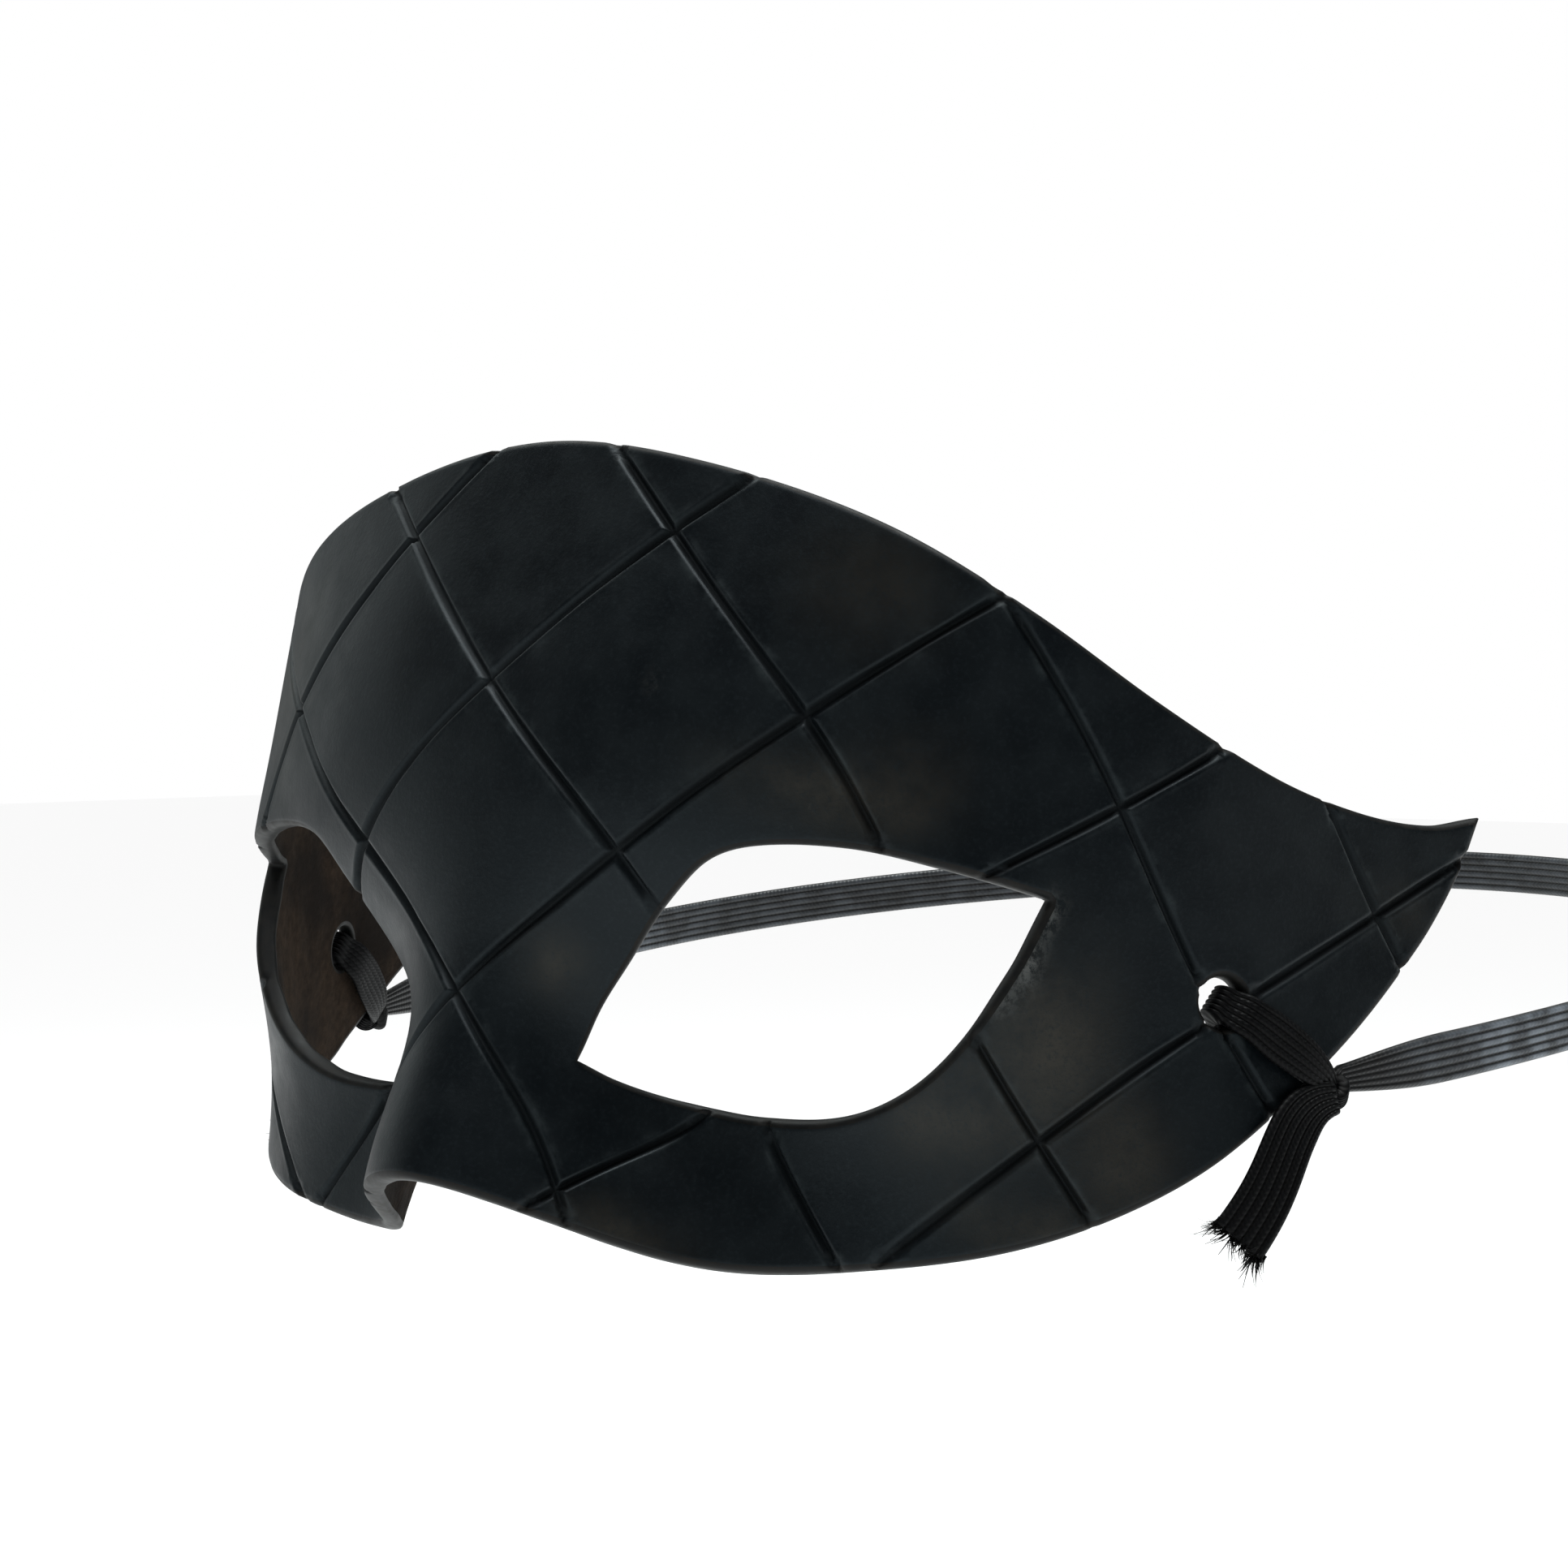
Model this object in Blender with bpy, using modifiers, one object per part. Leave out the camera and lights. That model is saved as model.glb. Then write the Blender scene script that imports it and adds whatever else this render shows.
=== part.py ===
"""Half mask of hand-moulded black leather with a tooled diamond lattice and a braided elastic.

Metres, +Z up, the wearer faces -Y and the wearer's left is +X.
The origin is on the inner face of the nose bridge, where the mask rests on the wearer.
"""

import bpy
import bmesh
import numpy as np

for old in list(bpy.data.objects):
    bpy.data.objects.remove(old, do_unlink=True)

# Driving sizes
DIAMOND = 0.033             # width of one tooled diamond, the unit of every share below
WALL = 0.0022               # leather thickness
LEAN = 22.0                 # degrees that each bend of the leather drops on its way back
GROOVE_HALF = 0.0011        # half width of a tooled groove
GROOVE_DEPTH = 0.0008
CELLS = 5                   # flat cells across a diamond between two grooves
GAP = 0.0003                # air kept between neighbouring pieces

STRAP_HOLE = (2.51, 0.55)   # centre on the flat pattern, in diamonds across and up
STRAP_HOLE_RADIUS = 0.0026
ELASTIC_WIDTH = 0.0050
ELASTIC_THICK = 0.0010
KNOT_HEADING = -20.0        # degrees on the flat pattern from the strap hole to the knot
KNOT_RADIUS = 0.0022
KNOT_SHAPE = (0.94, 1.00, 1.00)     # shares of that radius along x, y and z
KNOT_PINCH = 0.55           # width of the elastic beside a knot, as a share of its full width
TAIL_LENGTH = 0.0180
TAIL_HEADING = -118.0       # degrees on the flat pattern from the knot to the free end
TAIL_SWING = 0.0165         # strength of the swing forward just below the knot
HEAD_SWELL = 0.0080         # how much wider the elastic runs behind the knots, on each side
SWELL_RUN = 0.0540          # from the knots back to that widest place
BACK_RUN = 0.0790           # from there to the back of the head
BAND_RISE = 5.5             # degrees that the elastic climbs on its way back

# Knots of the smooth surface on the flat pattern, in diamonds from the nose bridge
ACROSS_KNOTS = (0.0, 0.35, 0.70, 1.05, 1.5, 2.1, 2.9, 3.9)
UP_KNOTS = (-0.95, -0.45, -0.05, 0.35, 0.9, 2.0)

# One row for each bend, from the middle line out past the tip, in shares of a diamond.
# "rise" is its height at the middle line and "sag" its extra droop under the eye.
STATIONS = ("middle", "ridge", "nose side", "inner eye", "eye", "outer eye", "temple", "strap", "tip")
BENDS = {
    "below hem": dict(rise=-1.02, sag=0.1,
                      across=(0, 0.27, 0.41, 0.65, 1.13, 1.67, 2.16, 2.40, 2.55),
                      back=(-0.35, -0.27, -0.02, 0.28, 0.36, 0.62, 1.21, 1.71, 1.99)),
    "hem": dict(rise=-0.84, sag=0.1,
                across=(0, 0.28, 0.42, 0.67, 1.13, 1.68, 2.15, 2.39, 2.53),
                back=(-0.31, -0.18, 0.06, 0.32, 0.41, 0.66, 1.26, 1.77, 2.05)),
    "cheek": dict(rise=-0.5, sag=0.12,
                  across=(0, 0.35, 0.51, 0.65, 1.18, 1.69, 2.13, 2.37, 2.51),
                  back=(-0.30, -0.05, 0.10, 0.45, 0.46, 0.73, 1.36, 1.88, 2.15)),
    "eye": dict(rise=-0.04, sag=0.11,
                across=(0, 0.33, 0.38, 0.70, 1.20, 1.72, 2.08, 2.32, 2.44),
                back=(-0.02, 0.14, 0.61, 0.56, 0.51, 0.83, 1.49, 2.03, 2.31)),
    "brow": dict(rise=0.38, sag=0.065,
                 across=(0, 0.36, 0.75, 1.01, 1.43, 1.70, 2.04, 2.24, 2.37),
                 back=(0.01, 0.07, 0.13, 0.31, 0.34, 0.90, 1.63, 2.18, 2.46)),
    "forehead": dict(rise=1.04, sag=0,
                     across=(0, 0.39, 0.75, 1.15, 1.49, 1.82, 1.94, 2.17, 2.27),
                     back=(0.15, 0.12, 0.22, 0.38, 0.72, 1.14, 1.92, 2.44, 2.73)),
    "crown": dict(rise=1.655, sag=0.08,
                  across=(0, 0.36, 0.74, 1.12, 1.52, 1.80, 1.97, 2.16, 2.25),
                  back=(0.40, 0.42, 0.47, 0.56, 0.79, 1.29, 2.09, 2.64, 2.94)),
    "above crown": dict(rise=2.03, sag=0.07,
                        across=(0, 0.36, 0.72, 1.11, 1.52, 1.81, 1.98, 2.16, 2.25),
                        back=(0.51, 0.52, 0.58, 0.68, 0.90, 1.42, 2.21, 2.76, 3.05)),
}

# Left half of the cut outline on the flat pattern, in diamonds, clockwise from the top
OUTLINE = (
    # place, across, up, sharp
    ("top middle", 0.00, 1.788, False),
    ("top", 0.55, 1.735, False),
    ("top slope", 1.10, 1.634, False),
    ("over the eye", 1.60, 1.485, False),
    ("temple", 2.05, 1.355, False),
    ("waist", 2.50, 1.283, False),
    ("behind the waist", 2.85, 1.29, False),
    ("under the tip", 3.12, 1.34, False),
    ("tip", 3.32, 1.435, True),
    ("back edge", 3.28, 1.24, False),
    ("back edge low", 3.17, 0.95, False),
    ("by the knot", 2.93, 0.515, False),
    ("jaw side", 2.62, 0.11, False),
    ("cheek side", 2.30, -0.14, False),
    ("cheek", 1.90, -0.338, False),
    ("under the eye", 1.40, -0.482, False),
    ("inner cheek", 0.95, -0.565, False),
    ("nose side", 0.50, -0.593, False),
    ("nose middle", 0.00, -0.587, False),
)

# Left eye hole, clockwise from its inner corner
EYE = (
    # place, across, up, sharp
    ("inner corner", 0.425, -0.115, True),
    ("inner rise", 0.47, 0.05, False),
    ("inner lid", 0.55, 0.20, False),
    ("lid bend", 0.665, 0.38, False),
    ("lid shoulder", 0.795, 0.53, False),
    ("lid top", 0.955, 0.602, False),
    ("upper lid", 1.22, 0.648, False),
    ("upper lid end", 1.55, 0.66, False),
    ("outer corner", 1.885, 0.668, True),
    ("outer drop", 1.84, 0.44, False),
    ("outer bend", 1.738, 0.215, False),
    ("lower bend", 1.585, 0.045, False),
    ("lower lid", 1.38, -0.058, False),
    ("lower lid middle", 1.10, -0.10, False),
    ("lower lid inner", 0.80, -0.112, False),
    ("lower corner", 0.55, -0.125, False),
)


def spline_shares(place, knots):
    """Share of each control station in a smooth cubic spline at each place."""
    run = np.concatenate([[knots[0]] * 3, knots, [knots[-1]] * 3])
    place = np.clip(place, knots[0], knots[-1] - 1e-9)[:, None]
    shares = ((place >= run[:-1]) & (place < run[1:])).astype(float)
    for order in (1, 2, 3):
        left, right = run[:-order - 1], run[order + 1:]
        rise = np.where(run[order:-1] > left, run[order:-1] - left, 1.0)
        fall = np.where(right > run[1:-order], right - run[1:-order], 1.0)
        shares = shares[:, :-1] * (place - left) / rise + shares[:, 1:] * (right - place) / fall
    return shares


def table(column):
    """One column of the bends as an array with a row for each bend."""
    return np.array([bend[column] for bend in BENDS.values()], dtype=float)


def outer_face(across, up):
    """Outer face of the moulded leather over places on the flat pattern, in metres."""
    mirrored = [-k for k in ACROSS_KNOTS[:0:-1]] + list(ACROSS_KNOTS)
    along = spline_shares(across, mirrored)
    rows = spline_shares(up, UP_KNOTS)
    side, depth = table("across"), table("back")
    side = np.concatenate([-side[:, :0:-1], side], axis=1)
    depth = np.concatenate([depth[:, :0:-1], depth], axis=1)
    x = ((rows @ side) * along).sum(axis=1)
    y = ((rows @ depth) * along).sum(axis=1)
    droop = (rows @ table("sag")) * np.sin(np.pi * np.clip(np.abs(across) / 3.6, 0, 1)) ** 2
    z = rows @ table("rise") - y * np.tan(np.radians(LEAN)) - droop
    return DIAMOND * np.stack([x, y, z], axis=1)


def moulded(across, up, out):
    """Places on the flat pattern pressed to the face, each lifted by out metres."""
    across, up, out = (np.asarray(a, dtype=float) for a in np.broadcast_arrays(across, up, out))
    step = 0.004
    run = outer_face(across + step, up) - outer_face(across - step, up)
    climb = outer_face(across, up + step) - outer_face(across, up - step)
    normal = np.cross(run, climb)
    normal /= np.linalg.norm(normal, axis=1)[:, None]
    return outer_face(across, up) + normal * out[:, None]


ORIGIN = moulded([0.0], [0.0], -WALL)[0]


def smooth_run(rows, closed, pieces):
    """Points of a smooth line through table rows, broken at each sharp row."""
    points = np.array([row[1:3] for row in rows], dtype=float)
    sharp = [row[3] for row in rows]
    count = len(points)
    tangent = np.empty_like(points)
    for i in range(count):
        before = points[(i - 1) % count]
        after = points[(i + 1) % count]
        tangent[i] = (after - before) / 2
    line = []
    for i in range(count if closed else count - 1):
        j = (i + 1) % count
        start = points[j] - points[i] if sharp[i] else tangent[i]
        end = points[j] - points[i] if sharp[j] else tangent[j]
        span = np.linalg.norm(points[j] - points[i])
        start = start / np.linalg.norm(start) * span
        end = end / np.linalg.norm(end) * span
        for t in np.arange(pieces) / pieces:
            line.append(points[i] * (2 * t ** 3 - 3 * t ** 2 + 1) + points[j] * (3 * t ** 2 - 2 * t ** 3)
                        + start * (t ** 3 - 2 * t ** 2 + t) + end * (t ** 3 - t ** 2))
    return np.array(line)


def full_outline():
    """Whole cut outline, the table's half and its mirror image."""
    left = list(OUTLINE)
    right = [(place, -across, up, sharp) for place, across, up, sharp in OUTLINE[-2:0:-1]]
    return smooth_run(left + right, True, 4)


# Collections, materials and cutters

asset = bpy.data.collections.new("Leather masquerade mask")
bpy.context.scene.collection.children.link(asset)
cutters = bpy.data.collections.new("Cutters")
bpy.context.scene.collection.children.link(cutters)
cutters.hide_render = True


def material(name, colour, roughness):
    """Plain surface with one base colour."""
    made = bpy.data.materials.new(name)
    made.use_nodes = True
    shader = made.node_tree.nodes["Principled BSDF"]
    shader.inputs["Base Color"].default_value = (*colour, 1.0)
    shader.inputs["Roughness"].default_value = roughness
    made.diffuse_color = (*colour, 1.0)
    return made


def place_mesh(name, mesh, surface):
    """Put one mesh in the object's collection as a named piece."""
    made = bpy.data.objects.new(name, mesh)
    asset.objects.link(made)
    mesh.materials.clear()
    mesh.materials.append(surface)
    return made


def baked(source):
    """Mesh of an object with its modifiers or curve worked out."""
    bpy.context.view_layer.update()
    graph = bpy.context.evaluated_depsgraph_get()
    mesh = bpy.data.meshes.new_from_object(source.evaluated_get(graph))
    work = bmesh.new()
    work.from_mesh(mesh)
    bmesh.ops.remove_doubles(work, verts=work.verts, dist=1e-6)
    work.to_mesh(mesh)
    work.free()
    return mesh


def prism(name, points, half_height):
    """Cutter with a flat outline, as a filled curve extruded both ways."""
    curve = bpy.data.curves.new(name, "CURVE")
    curve.dimensions = "2D"
    curve.fill_mode = "BOTH"
    curve.extrude = half_height
    line = curve.splines.new("POLY")
    line.points.add(len(points) - 1)
    for point, (x, y) in zip(line.points, points):
        point.co = (x, y, 0.0, 1.0)
    line.use_cyclic_u = True
    drawn = bpy.data.objects.new(name + " line", curve)
    cutters.objects.link(drawn)
    mesh = baked(drawn)
    bpy.data.objects.remove(drawn, do_unlink=True)
    made = bpy.data.objects.new(name, mesh)
    cutters.objects.link(made)
    made.display_type = "WIRE"
    made.hide_render = True
    return made


# Leather shell, a flat blank cut to the pattern and then moulded

def lattice_lines(first, last):
    """Grid lines across the diamonds, close together beside each groove."""
    edge = GROOVE_HALF * np.sqrt(2) / DIAMOND
    inside = np.linspace(edge, 1 - edge, CELLS + 1)
    lines = [base + share for base in range(first, last) for share in (0.0, *inside)]
    return np.array(lines + [float(last)])


def leather_blank():
    """Flat sheet of leather with its cell edges along the tooled diamonds."""
    rising = lattice_lines(-5, 6)
    falling = lattice_lines(-5, 6)
    a, b = np.meshgrid(rising, falling, indexing="ij")
    across, up = (a - b) / 2, (a + b) / 2
    sheet = bmesh.new()
    corners = {}
    for i in range(len(rising) - 1):
        for j in range(len(falling) - 1):
            middle_across = across[i:i + 2, j:j + 2].mean()
            middle_up = up[i:i + 2, j:j + 2].mean()
            if abs(middle_across) > 3.55 or not -0.85 < middle_up < 2.05:
                continue
            ring = []
            for m, n in ((i, j), (i + 1, j), (i + 1, j + 1), (i, j + 1)):
                if (m, n) not in corners:
                    corners[m, n] = sheet.verts.new((across[m, n] * DIAMOND, up[m, n] * DIAMOND, 0.0))
                ring.append(corners[m, n])
            sheet.faces.new(ring)
    bmesh.ops.recalc_face_normals(sheet, faces=sheet.faces)
    if next(iter(sheet.faces)).normal.z < 0:
        bmesh.ops.reverse_faces(sheet, faces=sheet.faces)
    mesh = bpy.data.meshes.new("leather blank")
    sheet.to_mesh(mesh)
    sheet.free()
    made = bpy.data.objects.new("leather blank", mesh)
    cutters.objects.link(made)
    made.display_type = "WIRE"
    made.hide_render = True
    thick = made.modifiers.new("Leather thickness", "SOLIDIFY")
    thick.thickness = WALL
    thick.offset = -1.0
    return made


def cut(blank, tool, operation):
    """Boolean step of the blank."""
    step = blank.modifiers.new(tool.name, "BOOLEAN")
    step.operation = operation
    step.solver = "EXACT"
    step.object = tool


def off_line(value):
    """Distance from the nearest whole number."""
    return np.abs(value - np.round(value))


def shell():
    """Cut the blank, tool its grooves and mould it to the face."""
    blank = leather_blank()
    cut(blank, prism("outline cutter", full_outline() * DIAMOND, 0.01), "INTERSECT")
    eye = smooth_run(EYE, True, 4) * DIAMOND
    cut(blank, prism("left eye cutter", eye, 0.01), "DIFFERENCE")
    cut(blank, prism("right eye cutter", eye * (-1, 1), 0.01), "DIFFERENCE")
    turn = np.linspace(0, 2 * np.pi, 16, endpoint=False)
    ring = np.stack([np.cos(turn), np.sin(turn)], axis=1) * STRAP_HOLE_RADIUS
    centre = np.array(STRAP_HOLE) * DIAMOND
    cut(blank, prism("left strap hole cutter", ring + centre, 0.01), "DIFFERENCE")
    cut(blank, prism("right strap hole cutter", ring + centre * (-1, 1), 0.01), "DIFFERENCE")
    mesh = baked(blank)
    work = bmesh.new()
    work.from_mesh(mesh)
    bmesh.ops.triangulate(work, faces=work.faces)
    work.to_mesh(mesh)
    work.free()
    flat = np.empty(len(mesh.vertices) * 3)
    mesh.vertices.foreach_get("co", flat)
    flat = flat.reshape(-1, 3)
    across, up, out = flat[:, 0] / DIAMOND, flat[:, 1] / DIAMOND, flat[:, 2].copy()
    tooled = np.minimum(off_line(across + up), off_line(up - across))
    tooled *= DIAMOND / np.sqrt(2)
    depth = GROOVE_DEPTH * np.clip(1 - tooled / GROOVE_HALF, 0, 1)
    out = np.where(out > -WALL / 2, out - depth, out)
    pressed = moulded(across, up, out) - ORIGIN
    mesh.vertices.foreach_set("co", pressed.ravel())
    mesh.update()
    return place_mesh("mask_shell", mesh, LEATHER)


# Elastic, one braided ribbon on each side of its knots

def ribbon(name, path, wide, width, surface):
    """Flat ribbon along a path, as a grid sheet given thickness."""
    columns = 3
    sheet = bmesh.new()
    bmesh.ops.create_grid(sheet, x_segments=columns - 1, y_segments=len(path) - 1, size=0.5)
    sheet.verts.ensure_lookup_table()
    for vert in sheet.verts:
        k = int(round((vert.co.y + 0.5) * (len(path) - 1)))
        vert.co = path[k] + wide[k] * width[k] * vert.co.x
    mesh = bpy.data.meshes.new(name)
    sheet.to_mesh(mesh)
    sheet.free()
    drawn = bpy.data.objects.new(name + " sheet", mesh)
    cutters.objects.link(drawn)
    solid = drawn.modifiers.new("Ribbon thickness", "SOLIDIFY")
    solid.thickness = ELASTIC_THICK
    solid.offset = 0.0
    made = baked(drawn)
    bpy.data.objects.remove(drawn, do_unlink=True)
    work = bmesh.new()
    work.from_mesh(made)
    bmesh.ops.triangulate(work, faces=work.faces)
    bmesh.ops.recalc_face_normals(work, faces=work.faces)
    work.to_mesh(made)
    work.free()
    return place_mesh(name, made, surface)


def unit(vectors):
    """Vectors scaled to length one."""
    return vectors / np.linalg.norm(vectors, axis=-1, keepdims=True)


def heading(degrees):
    """Direction on the flat pattern and the direction to its left."""
    ahead = np.array([np.cos(np.radians(degrees)), np.sin(np.radians(degrees))])
    return ahead, np.array([-ahead[1], ahead[0]])


def knot_reach():
    """Length from the strap hole's centre to the knot's, which sits just off the cut edge."""
    ahead, left = heading(KNOT_HEADING)
    line = full_outline() - STRAP_HOLE
    along, off = line @ ahead, line @ left
    crossing = (off * np.roll(off, -1) < 0) & (along > 0)
    share = off / (off - np.roll(off, -1))
    edge = (along + share * (np.roll(along, -1) - along))[crossing].min()
    return edge * DIAMOND + KNOT_RADIUS + GAP


def knot_place():
    """Middle of the left knot on the flat pattern."""
    return STRAP_HOLE + heading(KNOT_HEADING)[0] * knot_reach() / DIAMOND


def knot_centre():
    """Middle of the left knot, level with the middle of the leather."""
    across, up = knot_place()
    return moulded([across], [up], -WALL / 2)[0] - ORIGIN


def knot(side, name):
    """Tight overhand knot as a squashed ball."""
    work = bmesh.new()
    bmesh.ops.create_uvsphere(work, u_segments=16, v_segments=10, radius=KNOT_RADIUS)
    centre = knot_centre()
    for vert in work.verts:
        vert.co = [centre[k] + vert.co[k] * KNOT_SHAPE[k] for k in range(3)]
        vert.co.x *= side
    bmesh.ops.triangulate(work, faces=work.faces)
    bmesh.ops.recalc_face_normals(work, faces=work.faces)
    mesh = bpy.data.meshes.new(name)
    work.to_mesh(mesh)
    work.free()
    return place_mesh(name, mesh, ELASTIC)


def hole_loop(side, name):
    """Loop from the knot over the leather, down the strap hole and back inside to the knot."""
    ahead, left = heading(KNOT_HEADING)
    reach = knot_reach() - KNOT_RADIUS - GAP
    lift = GAP + ELASTIC_THICK / 2
    turn = ELASTIC_THICK * 1.1
    full, gathered = ELASTIC_WIDTH * 0.96, (STRAP_HOLE_RADIUS - GAP) * 1.27
    outside = (
        # along from the hole's centre, out from the outer face, width
        (reach, lift, ELASTIC_WIDTH * (KNOT_PINCH + 0.15)),
        (reach * 0.8, lift, full * 0.94),
        (reach * 0.5, lift, full),
        (reach * 0.25, lift, full * 0.88),
        (turn, lift * 0.9, gathered * 1.25),
        (turn * 0.25, -GAP, gathered * 1.06),
        (0.0, -WALL / 2, gathered),
    )
    inside = [(along, -WALL - out, width) for along, out, width in outside[-2::-1]]
    along, out, width = (np.array(column) for column in zip(*outside, *inside))
    place = STRAP_HOLE + ahead * (along / DIAMOND)[:, None]
    return laid_ribbon(side, name, place, left, out, width)


def laid_ribbon(side, name, place, left, out, width):
    """Ribbon that follows places on the flat pattern at a height over the outer face."""
    path = moulded(place[:, 0], place[:, 1], out) - ORIGIN
    beside = place + left * 0.01
    wide = unit(moulded(beside[:, 0], beside[:, 1], out) - ORIGIN - path)
    mirror = np.array([side, 1.0, 1.0])
    return ribbon(name, path * mirror, wide * mirror, width, ELASTIC)


def elastic_tail(side, name):
    """Short free end that crosses the edge of the leather and hangs along the cheek."""
    share = np.linspace(0, 1, 8)
    ahead, left = heading(TAIL_HEADING)
    along = KNOT_RADIUS + GAP + share * TAIL_LENGTH
    swing = TAIL_SWING * share * (1 - share) ** 3
    place = knot_place() + (ahead * along[:, None] - left * swing[:, None]) / DIAMOND
    width = ELASTIC_WIDTH * (KNOT_PINCH + 0.1 + 0.43 * np.minimum(share * 4, 1))
    return laid_ribbon(side, name, place, left, GAP + ELASTIC_THICK / 2, width)


def elastic_band(name):
    """Long run from knot to knot, round the back of the head."""
    start = knot_centre() + unit(np.array([0.0, 0.90, 0.45])) * (KNOT_RADIUS + GAP)
    widest = start[0] + HEAD_SWELL
    first = -np.arccos(start[0] / widest)
    turn = np.linspace(first, np.pi / 2, 18)
    y = start[1] + SWELL_RUN + np.sin(turn) * np.where(turn < 0, SWELL_RUN / np.sin(-first), BACK_RUN)
    z = start[2] + (y - start[1]) * np.tan(np.radians(BAND_RISE))
    left = np.stack([widest * np.cos(turn), y, z], axis=1)
    path = np.concatenate([left, left[-2::-1] * (-1, 1, 1)])
    count = len(path)
    wide = np.repeat(np.array([[0.0, 0.0, 1.0]]), count, axis=0)
    from_end = np.minimum(np.arange(count), np.arange(count)[::-1])
    width = ELASTIC_WIDTH * (KNOT_PINCH + (1 - KNOT_PINCH) * np.minimum(from_end / 2, 1))
    return ribbon(name, path, wide, width, ELASTIC)


LEATHER = material("Black moulded leather", (0.016, 0.018, 0.018), 0.42)
ELASTIC = material("Black braided elastic", (0.020, 0.020, 0.024), 0.55)

shell()
elastic_band("elastic_band")
for side, word in ((1, "left"), (-1, "right")):
    knot(side, "knot_" + word)
    hole_loop(side, "hole_loop_" + word)
    elastic_tail(side, "elastic_tail_" + word)
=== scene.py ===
"""Looks of the leather masquerade mask: tooled black leather, ribbed elastic, knots and frayed ends."""

import bpy
import numpy as np
from mathutils.geometry import delaunay_2d_cdt
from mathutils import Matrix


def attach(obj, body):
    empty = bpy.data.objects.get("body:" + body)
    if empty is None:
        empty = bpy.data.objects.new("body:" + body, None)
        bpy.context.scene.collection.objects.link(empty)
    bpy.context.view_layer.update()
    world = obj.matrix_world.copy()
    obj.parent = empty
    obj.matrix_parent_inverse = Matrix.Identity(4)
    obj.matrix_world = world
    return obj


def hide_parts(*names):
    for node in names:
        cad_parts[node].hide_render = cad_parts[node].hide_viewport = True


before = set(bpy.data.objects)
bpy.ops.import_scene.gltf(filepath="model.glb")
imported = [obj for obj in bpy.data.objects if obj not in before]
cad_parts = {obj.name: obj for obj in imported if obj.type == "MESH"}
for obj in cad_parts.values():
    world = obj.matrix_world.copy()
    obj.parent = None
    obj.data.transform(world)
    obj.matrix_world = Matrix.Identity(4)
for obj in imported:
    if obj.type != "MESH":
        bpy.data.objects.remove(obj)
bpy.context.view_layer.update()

# The camera stands before the wearer's left temple, level with the eyes and barely turned down.
# It comes first because every finish below is judged from here.
CAMERA_PLACE = (0.26663, -0.27650, 0.03200)
CAMERA_TURN = 39.40         # degrees from looking along +Y
CAMERA_DROP = 1.74          # degrees below level
CAMERA_LENS = 90.72         # millimetres on a 36 mm sensor
eye_lens = bpy.data.cameras.new("camera")
eye_lens.lens = CAMERA_LENS
eye_lens.sensor_width = 36.0
eye_lens.clip_start = 0.01
camera = bpy.data.objects.new("camera", eye_lens)
camera.location = CAMERA_PLACE
camera.rotation_euler = (np.radians(90.0 - CAMERA_DROP), 0.0, np.radians(CAMERA_TURN))
bpy.context.scene.collection.objects.link(camera)
bpy.context.scene.camera = camera
bpy.context.scene.view_settings.view_transform = "Standard"


# The leather shell is one piece of vegetable-tanned hide, cut flat to a pattern, tooled with a
# lattice of grooves while damp, pressed over a face until it keeps the shape, and dyed black.
# It is worked here in the same order: a flat pattern, its tooled relief, then the pressing.
DIAMOND = 0.033             # width of one tooled diamond, the unit of the flat pattern
WALL = 0.0022
LEAN = 22.0                 # degrees that each bend of the leather drops on its way back
SAG_SPAN = 3.6              # diamonds over which the sag under the eye comes and goes
ACROSS_KNOTS = (0.0, 0.35, 0.70, 1.05, 1.5, 2.1, 2.9, 3.9)
UP_KNOTS = (-0.95, -0.45, -0.05, 0.35, 0.9, 2.0)
STRAP_HOLE = (2.51, 0.55)
STRAP_HOLE_RADIUS = 0.0026

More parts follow.
